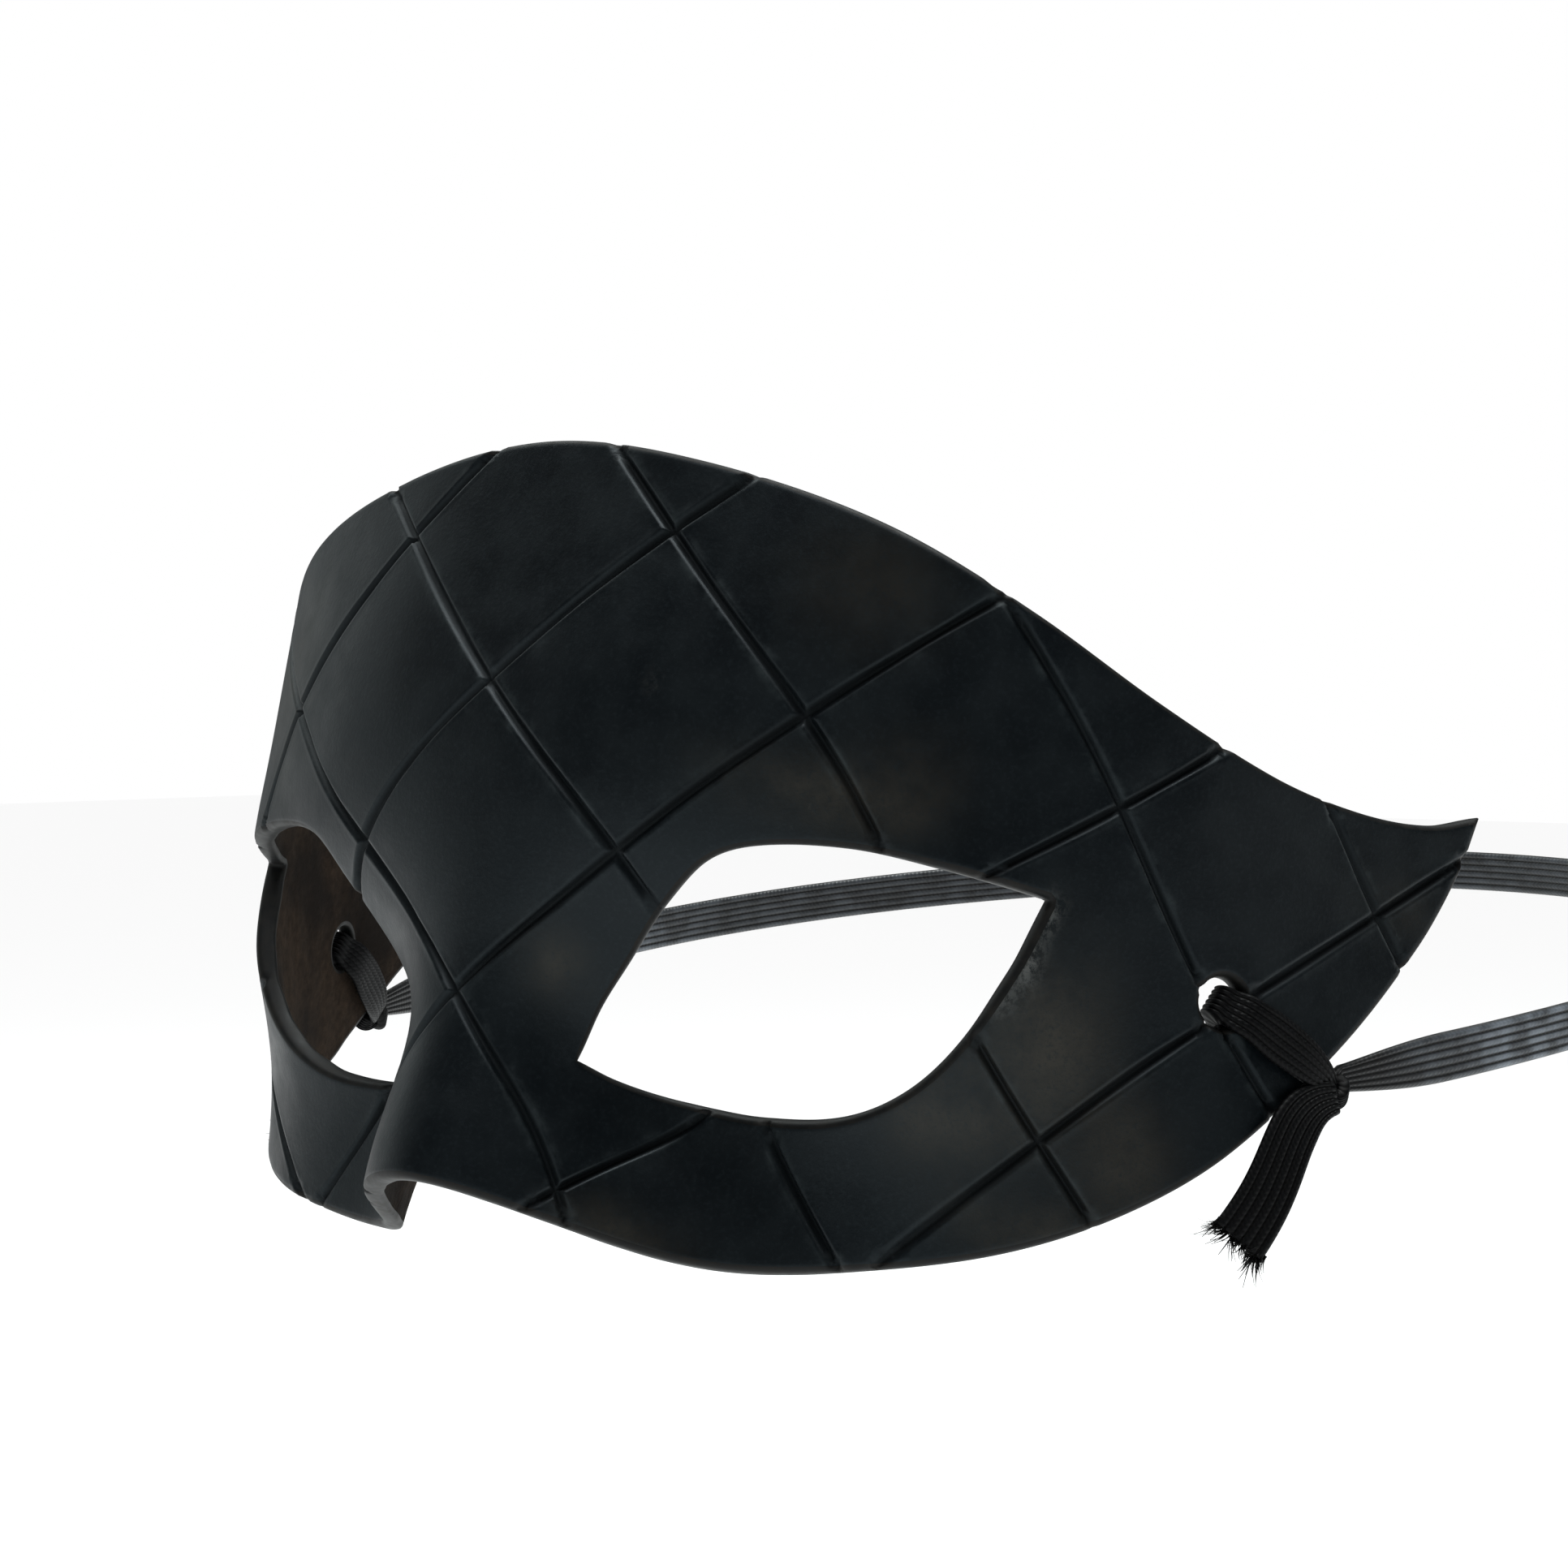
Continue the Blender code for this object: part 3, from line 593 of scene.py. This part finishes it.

# How near each point lies to a groove of either direction, as numbers for the finish: dark in the
# core, partly pooled dye and partly painted shade, weaker in the falling grooves, whose bevels catch the
# light, and a painted highlight on the shoulders, strongest beside the falling grooves.
rising, falling = (np.abs(line - np.round(line)) * DIAMOND / np.sqrt(2)
                   for line in (up - across, up + across))
core = GROOVE_HALF * 0.75
mark_points(mask_leather, "groove", np.tile(np.maximum(
    np.exp(-(rising / core) ** 4), 0.6 * np.exp(-(falling / core) ** 4)), 2))
# Painted highlight along the groove shoulders, strongest beside the falling grooves.
mark_points(mask_leather, "painted_bevel_highlight", np.tile(np.maximum(
    0.4 * np.exp(-((rising - GROOVE_HALF * 1.5) / 0.0004) ** 2),
    np.exp(-((falling - GROOVE_HALF * 1.4) / 0.00035) ** 2)), 2))
for name, spots in (("faded", FADED), ("scuffed", SCUFFED)):
    mark_points(mask_leather, name, np.tile(sum(
        strength * np.exp(-((across - place) / wide) ** 2 - ((up - height) / tall) ** 2)
        for place, height, wide, tall, strength in spots), 2))
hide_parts("mask_shell")
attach(mask_leather, "root")


# The elastic is a flat braid of black thread over rubber, about 5 mm wide, with six round ribs. One
# end goes down the strap hole and round the edge, where it is bunched, and both legs are pulled
# into a knot beside the leather. The cut end hangs from the knot.
ELASTIC_WIDTH = 0.0050
ELASTIC_THICK = 0.0010
GAP = 0.0003                # room between two pieces that lie on each other
RIBS = 6
RIB_STEPS = 6               # points across one rib
KNOT_HEADING = -20.0        # degrees on the flat pattern, from the strap hole to the knot
KNOT_RADIUS = 0.0022
KNOT_PINCH = 0.55           # share of its width that the braid keeps at a knot
LOOP_STEPS = 90
BUNCHED = 1.7               # how much thicker the braid gets where it is gathered in the hole
BUNCHED_SPAN = 0.16
TAIL_STEPS = 48
TAIL_LENGTH = 0.0180
TAIL_HEADING = -118.0
TAIL_SWING = 0.0165
TAIL_LIFT = 0.0004


def unit(vectors):
    """Vectors scaled to length one."""
    return vectors / np.linalg.norm(vectors, axis=-1, keepdims=True)


def braid(name, path, wide, width, thick, finish):
    """Ribbon carried along a path. Its section is flat with a half-round rib in each sixth of the
    width: the height is a base plus the root of one less the squared place in the rib. Its own map
    runs over the width and, in widths, along the length."""
    place = np.arange(RIBS * RIB_STEPS + 1) / (RIBS * RIB_STEPS)
    inside_rib = 2 * (place * RIBS % 1) - 1
    inside_rib[-1] = 1
    crown = np.sqrt(np.clip(1 - inside_rib ** 2, 0, 1))
    shoulder = np.clip(np.minimum(place, 1 - place) * RIBS * 1.5, 0, 1) ** 0.5
    height = 0.5 * (0.55 * shoulder + 0.45 * crown)
    across_section = np.concatenate([place - 0.5, (place - 0.5)[-2:0:-1]])
    up_section = np.concatenate([height, -height[-2:0:-1]])
    tangent = unit(np.gradient(path, axis=0))
    wide = unit(wide - tangent * (wide * tangent).sum(axis=1, keepdims=True))
    normal = np.cross(wide, tangent)
    thick = np.broadcast_to(thick, len(path))
    points = (path[:, None] + wide[:, None] * (width[:, None] * across_section)[..., None]
              + normal[:, None] * (thick[:, None] * up_section)[..., None])
    rows, columns = points.shape[:2]
    index = np.arange(rows * columns).reshape(rows, columns)
    here, there = index[:-1], index[1:]
    quads = np.stack([here, np.roll(here, -1, 1), np.roll(there, -1, 1), there], axis=-1).reshape(-1, 4)
    middles = np.stack([path[0], path[-1]])
    first, last = rows * columns, rows * columns + 1
    lids = [np.stack([np.roll(index[0], -1), index[0], np.full(columns, first)], axis=1),
            np.stack([index[-1], np.roll(index[-1], -1), np.full(columns, last)], axis=1)]
    halves = np.concatenate([quads[:, [0, 1, 2]], quads[:, [0, 2, 3]]] + lids)
    made = mesh_piece(name, np.concatenate([points.reshape(-1, 3), middles]), halves, (finish,))
    length = np.concatenate([[0.0], np.cumsum(np.linalg.norm(np.diff(path, axis=0), axis=1))])
    along = np.concatenate([np.repeat(length, columns), [0.0, length[-1]]]) / ELASTIC_WIDTH
    round_it = np.concatenate([np.tile(across_section + 0.5, rows), [0.5, 0.5]])
    corner = np.empty(len(made.data.loops), dtype=np.int32)
    made.data.loops.foreach_get("vertex_index", corner)
    made.data.uv_layers.new(name="braid").data.foreach_set(
        "uv", np.stack([round_it[corner], along[corner]], axis=1).astype(np.float32).ravel())
    return made


def black_elastic(name, shine, crown, stretched=None):
    """Rubber under black braided thread, with painted shade between the ribs. Where the braid is stretched,
    given as its length in widths, a painted glint of pale colour lies on the crowns from a few widths past
    each knot."""
    finish = Finish(name, **{"Specular IOR Level": shine})
    place = finish.node("UVMap", settings={"uv_map": "braid"})
    over = finish.node("SeparateXYZ", output=0, Vector=place)
    along = finish.node("SeparateXYZ", output=1, Vector=place)
    rib = finish.node("Math", settings={"operation": "FRACT"}, i0=over * RIBS)
    lean = finish.node("Math", settings={"operation": "ABSOLUTE"}, i0=rib - 0.5)
    thread = finish.node("Math", settings={"operation": "SINE"}, i0=along * 52.0 + lean * 9.0)
    dust = finish.noise(900.0, 4.0, 0.65)
    # Painted shade in the valleys between the ribs.
    painted_valley_shade = finish.between(lean, 0.26, 0.46)
    colour = finish.mixed(finish.between(dust, 0.4, 0.7), (0.0011, 0.0012, 0.0015, 1), crown)
    if stretched:
        # Painted glint: pale streaks on the crowns from a few widths past each knot, fading further on.
        from_knot = finish.node("Math", settings={"operation": "MINIMUM"}, i0=along, i1=stretched - along)
        streak = finish.noise(260.0, 3.0, 0.6)
        painted_glint = (finish.between(from_knot, 1.4, 5.0) * finish.between(from_knot, 9.0, 14.0, 1.0, 0.25)
                  * finish.between(streak, 0.38, 0.62, 0.25, 1.0))
        colour = finish.mixed(painted_glint, colour, (0.165, 0.190, 0.220, 1))
        # On the stretched braid the painted shade between the ribs is wider.
        painted_valley_shade = finish.between(lean, 0.20, 0.42)
    colour = finish.mixed(painted_valley_shade, colour, (0.0006, 0.0006, 0.0008, 1))
    finish.set(**{"Base Color": colour, "Roughness": finish.between(thread, -1.0, 1.0, 0.42, 0.58)})
    finish.set(Normal=finish.bumped(thread, 0.00003, 0.35, finish.bumped(dust, 0.00006, 0.4)))
    return finish.material


def heading(degrees):
    """Direction on the flat pattern and the direction to its left."""
    ahead = np.array([np.cos(np.radians(degrees)), np.sin(np.radians(degrees))])
    return ahead, np.array([-ahead[1], ahead[0]])


def knot_reach():
    """Length from the strap hole's centre to the knot's, from where that heading crosses the cut."""
    ahead, left = heading(KNOT_HEADING)
    line = loops[0] - STRAP_HOLE
    along, off = line @ ahead, line @ left
    crossing = (off * np.roll(off, -1) < 0) & (along > 0)
    share = off / (off - np.roll(off, -1))
    edge = (along + share * (np.roll(along, -1) - along))[crossing].min()
    return edge * DIAMOND + KNOT_RADIUS + GAP


knot_place = STRAP_HOLE + heading(KNOT_HEADING)[0] * knot_reach() / DIAMOND
knot_centre = moulded([knot_place[0]], [knot_place[1]], -WALL / 2)[0] - ORIGIN
elastic = black_elastic("black_elastic", 0.10, (0.0019, 0.0022, 0.0028, 1))


def smooth_values(rows, count):
    """Table columns read at even steps from row to row, by the Catmull and Rom cubic through four
    rows at a time."""
    rows = np.asarray(rows, dtype=float)
    padded = np.concatenate([2 * rows[:1] - rows[1:2], rows, 2 * rows[-1:] - rows[-2:-1]])
    place = np.linspace(0, len(rows) - 1, count)
    k = np.minimum(place.astype(int), len(rows) - 2)
    t = (place - k)[:, None]
    a, b, c, d = padded[k], padded[k + 1], padded[k + 2], padded[k + 3]
    return 0.5 * (2 * b + (c - a) * t + (2 * a - 5 * b + 4 * c - d) * t ** 2
                  + (3 * b - a - 3 * c + d) * t ** 3)


def laid(place, left, out):
    """Path and width direction of a ribbon that follows the flat pattern at a height over the face."""
    small_step = 0.01
    path = moulded(place[:, 0], place[:, 1], out) - ORIGIN
    beside = place + left * small_step
    return path, unit(moulded(beside[:, 0], beside[:, 1], out) - ORIGIN - path)


def put_on(piece, node):
    """An elastic piece that stands for its plain solid."""
    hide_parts(node)
    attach(piece, "root")


for side, word in ((1, "left"), (-1, "right")):
    mirror = np.array([side, 1.0, 1.0])
    ahead, left = heading(KNOT_HEADING)
    reach = knot_reach() - KNOT_RADIUS - GAP
    lift = GAP + ELASTIC_THICK / 2
    turn = ELASTIC_THICK * 1.1
    full, gathered = ELASTIC_WIDTH * 0.96, (STRAP_HOLE_RADIUS - GAP) * 1.27
    outer_leg = [
        # along from the hole's centre, out from the outer face, width
        (reach + KNOT_RADIUS, -WALL * 0.2, ELASTIC_WIDTH * 0.40),
        (reach + GAP, lift * 0.8, ELASTIC_WIDTH * 0.62),
        (reach * 0.8, lift * 1.5, full * 0.90),
        (reach * 0.5, lift * 1.6, full),
        (reach * 0.27, lift * 1.5, full * 0.90),
        (turn * 1.7, lift * 0.9, gathered * 1.45),
        (turn * 0.6, -GAP, gathered * 1.25),
        (turn * 0.3, -WALL / 2, gathered * 1.2),
    ]
    inner_leg = [(along, -WALL - out, width) for along, out, width in outer_leg[-2::-1]]
    along, out, width = smooth_values(outer_leg + inner_leg, LOOP_STEPS).T
    path, wide = laid(STRAP_HOLE + ahead * (along / DIAMOND)[:, None], left, out)
    bunched = ELASTIC_THICK * (1 + BUNCHED * np.exp(-(np.linspace(-1, 1, LOOP_STEPS) / BUNCHED_SPAN) ** 4))
    hole_loop = braid("elastic_hole_loop_" + word, path * mirror, wide * mirror, width, bunched, elastic)
    put_on(hole_loop, "hole_loop_" + word)

    share = np.linspace(0, 1, TAIL_STEPS)
    ahead, left = heading(TAIL_HEADING)
    along = KNOT_RADIUS * 0.6 + share * (TAIL_LENGTH + KNOT_RADIUS * 0.4 + GAP)
    swing = TAIL_SWING * share * (1 - share) ** 3
    place = knot_place + (ahead * along[:, None] - left * swing[:, None]) / DIAMOND
    path, wide = laid(place, left, lift + TAIL_LIFT * np.sin(np.pi * share))
    opening = 0.40 * np.sin(np.pi / 2 * np.minimum(share * 3, 1))
    width = ELASTIC_WIDTH * (KNOT_PINCH + 0.1 + opening + 0.16 * share)
    free_end = braid("elastic_free_end_" + word, path * mirror, wide * mirror, width,
                     ELASTIC_THICK, elastic)
    put_on(free_end, "elastic_tail_" + word)
    tail_end, tail_ahead, tail_wide, tail_width = path[-1], unit(path[-1] - path[-3]), wide[-1], width[-1]


# Each free end was cut with scissors and not sealed, so the black threads of the braid have come
# apart there. They stand out as short hairs in a few tufts, each thread its own way.
HAIRS = 260
HAIR_STEPS = 6
HAIR_RADIUS = 0.00012
HAIR_ROOT = 0.0007          # length of a hair that stays inside the braid
TUFTS = 9


def frayed(name, end, ahead, wide, width):
    """Hairs as one grid: each starts at a drawn place over the end's width, runs ahead with a drift
    that grows as its share of the length to the power one and a half, and has a three-sided section
    that thins to a quarter."""
    draw = np.random.default_rng(11)
    tuft = draw.integers(0, TUFTS, HAIRS)
    over = (tuft + 0.5 + draw.normal(0.0, 0.26, HAIRS)) / TUFTS - 0.5
    length = (draw.gamma(3.0, 0.00018, HAIRS) + 0.0002) * draw.uniform(0.5, 1.6, TUFTS)[tuft]
    spread = (draw.normal(0.0, 0.25, (HAIRS, 3)) + draw.normal(0.0, 0.35, (TUFTS, 3))[tuft]
              + over[:, None] * wide * 0.5)
    share = np.linspace(0, 1, HAIR_STEPS)[None, :, None]
    normal = np.cross(ahead, wide)
    root = (end + np.outer(over * width, wide) - ahead * HAIR_ROOT
            + np.outer(draw.uniform(-0.35, 0.35, HAIRS) * ELASTIC_THICK, normal))
    reach = (ahead + spread[:, None] * share ** 1.5) * share * (length[:, None, None] + HAIR_ROOT)
    centre = root[:, None] + reach
    turn = np.arange(3) * 2 * np.pi / 3
    section = np.cos(turn)[:, None] * wide + np.sin(turn)[:, None] * normal
    thin = HAIR_RADIUS * (1 - 0.75 * share)[..., None]
    points = centre[:, :, None] + thin * section
    index = np.arange(HAIRS * HAIR_STEPS * 3).reshape(HAIRS, HAIR_STEPS, 3)
    here, there = index[:, :-1], index[:, 1:]
    quads = np.stack([here, np.roll(here, -1, 2), np.roll(there, -1, 2), there], axis=-1).reshape(-1, 4)
    lids = np.concatenate([index[:, 0, ::-1], index[:, -1]])
    halves = np.concatenate([quads[:, [0, 1, 2]], quads[:, [0, 2, 3]], lids])
    return mesh_piece(name, points.reshape(-1, 3), halves, (elastic,))


for side, word in ((1, "left"), (-1, "right")):
    fray = frayed("elastic_fray_" + word, tail_end * (side, 1, 1), tail_ahead * (side, 1, 1),
                  tail_wide * (side, 1, 1), tail_width)
    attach(fray, "root")


# The long run of the same braid is tied at both ends and stretched once round the back of the head.
# Behind the mask it takes a plain way at a likely length: on each side one elliptic arc out to the
# widest place and a longer one from there to the back, climbing evenly.
HEAD_SWELL = 0.0080         # how far it widens past the knots on each side
SWELL_RUN = 0.0540          # from the knots back to that widest place
BACK_RUN = 0.0790           # from the widest place to the back
BAND_RISE = 5.5             # degrees that it climbs towards the back
BAND_STEPS = 220            # for one side
GATHERED_RUN = 0.014        # length over which it opens from a knot to its full width
start = knot_centre + unit(np.array([0.0, 0.90, 0.45])) * (KNOT_RADIUS + GAP)
widest = start[0] + HEAD_SWELL
first = -np.arccos(start[0] / widest)
turn = np.linspace(first, np.pi / 2, BAND_STEPS)
y = start[1] + SWELL_RUN + np.sin(turn) * np.where(turn < 0, SWELL_RUN / np.sin(-first), BACK_RUN)
z = start[2] + (y - start[1]) * np.tan(np.radians(BAND_RISE))
in_knot = knot_centre + (start - knot_centre) * np.linspace(0.25, 1, 6, endpoint=False)[:, None]
left_half = np.concatenate([in_knot, np.stack([widest * np.cos(turn), y, z], axis=1)])
path = np.concatenate([left_half, left_half[-2::-1] * (-1, 1, 1)])
wide = np.tile([[0.0, 0.0, 1.0]], (len(path), 1))
run = np.concatenate([[0.0], np.cumsum(np.linalg.norm(np.diff(path, axis=0), axis=1))])
from_knot = np.minimum(run, run[-1] - run)
opened = np.sin(np.pi / 2 * np.clip((from_knot - KNOT_RADIUS) / GATHERED_RUN, 0, 1))
width = ELASTIC_WIDTH * (KNOT_PINCH + (1 - KNOT_PINCH) * opened)
# The stretched braid carries a painted glint on its crowns.
taut = black_elastic("stretched_elastic", 0.45, (0.006, 0.007, 0.009, 1), run[-1] / ELASTIC_WIDTH)
put_on(braid("elastic_run", path, wide, width, ELASTIC_THICK, taut), "elastic_band")


# Each knot is a small tight overhand knot in the same braid, pulled until the ribs fold together.
# A trefoil line, squeezed flat and pulled short, gives its three lobes.
KNOT_STEPS = 121
KNOT_LOBES = (0.0013, 0.0017, 0.0016)
KNOT_BRAID_WIDTH = 0.0021
KNOT_BRAID_THICK = 0.0012
for side, word in ((1, "left"), (-1, "right")):
    turn = np.linspace(0, 2 * np.pi, KNOT_STEPS)
    lobes = np.stack([np.sin(turn) + 2 * np.sin(2 * turn), np.cos(turn) - 2 * np.cos(2 * turn),
                      -1.3 * np.sin(3 * turn)], axis=1) / 3
    lobes *= np.array(KNOT_LOBES)
    line = (knot_centre + lobes) * (side, 1, 1)
    outward = unit(lobes * (side, 1, 1) + 1e-9)
    along_line = unit(np.gradient(line, axis=0))
    knot = braid("elastic_knot_" + word, line, np.cross(along_line, outward),
                 np.full(len(line), KNOT_BRAID_WIDTH), KNOT_BRAID_THICK, elastic)
    put_on(knot, "knot_" + word)


# The studio is a matt pale floor well below the mask and a pale room, which the camera sees as white
# and the mask mirrors faintly. Six soft square lights and an even light from the sky show the leather.
FLOOR_DROP = 0.16
FLOOR_REACH = 4.0
floor_finish = Finish("floor", **{"Roughness": 1.0, "Specular IOR Level": 0.0,
                                  "Base Color": (0.99, 0.99, 0.99, 1)})
floor_corners = [(x * FLOOR_REACH, y * FLOOR_REACH, -FLOOR_DROP)
                 for x, y in ((-1, -1), (1, -1), (1, 1), (-1, 1))]
floor = mesh_piece("floor", floor_corners, [(0, 1, 2, 3)], (floor_finish.material,), smooth=False)

world = bpy.data.worlds.new("pale room")
world.use_nodes = True
backdrop = world.node_tree.nodes["Background"]
backdrop.inputs["Color"].default_value = (1.0, 1.0, 1.0, 1.0)
ROOM = 0.13                 # how much of the pale room the mask mirrors
seen = Wire(world.node_tree, world.node_tree.nodes.new("ShaderNodeLightPath").outputs["Is Camera Ray"])
feed(world.node_tree, backdrop.inputs["Strength"], seen * (1.0 - ROOM) + ROOM)
bpy.context.scene.world = world


def soft_light(name, place, aim, size, power):
    """Square area light that faces a point, a little cool. Its tilt is the arc cosine of how far it
    looks down and its turn is the arc tangent of its way over the floor."""
    lamp = bpy.data.lights.new(name, "AREA")
    lamp.color = (0.92, 1.0, 0.99)
    lamp.size = size
    lamp.energy = power
    made = bpy.data.objects.new(name, lamp)
    made.location = place
    direction = np.array(aim) - np.array(place)
    made.rotation_euler = (np.arccos(-direction[2] / np.linalg.norm(direction)), 0.0,
                           np.arctan2(direction[1], direction[0]) - np.pi / 2)
    bpy.context.scene.collection.objects.link(made)


MASK_MIDDLE = (0.0, 0.03, 0.0)
BAND_NEAR = (0.07, 0.08, 0.0)
sky = bpy.data.lights.new("sky light", "SUN")
sky.energy = 2.6
sky.angle = 0.8             # a wide disc, for soft shadows
bpy.context.scene.collection.objects.link(bpy.data.objects.new("sky light", sky))
soft_light("window light", (-0.95, 0.10, 0.25), MASK_MIDDLE, 0.50, 0.55)
soft_light("high window light", (-0.70, 0.20, 0.75), MASK_MIDDLE, 0.45, 2.6)
soft_light("back light", (0.0, 0.35, 0.95), MASK_MIDDLE, 0.45, 6.0)
soft_light("low window light", (-0.82, -0.45, 0.08), MASK_MIDDLE, 0.40, 0.36)
soft_light("front light", (0.20, -0.95, 0.10), MASK_MIDDLE, 0.45, 0.5)
soft_light("band light", (0.45, 0.85, 0.10), BAND_NEAR, 0.22, 0.45)
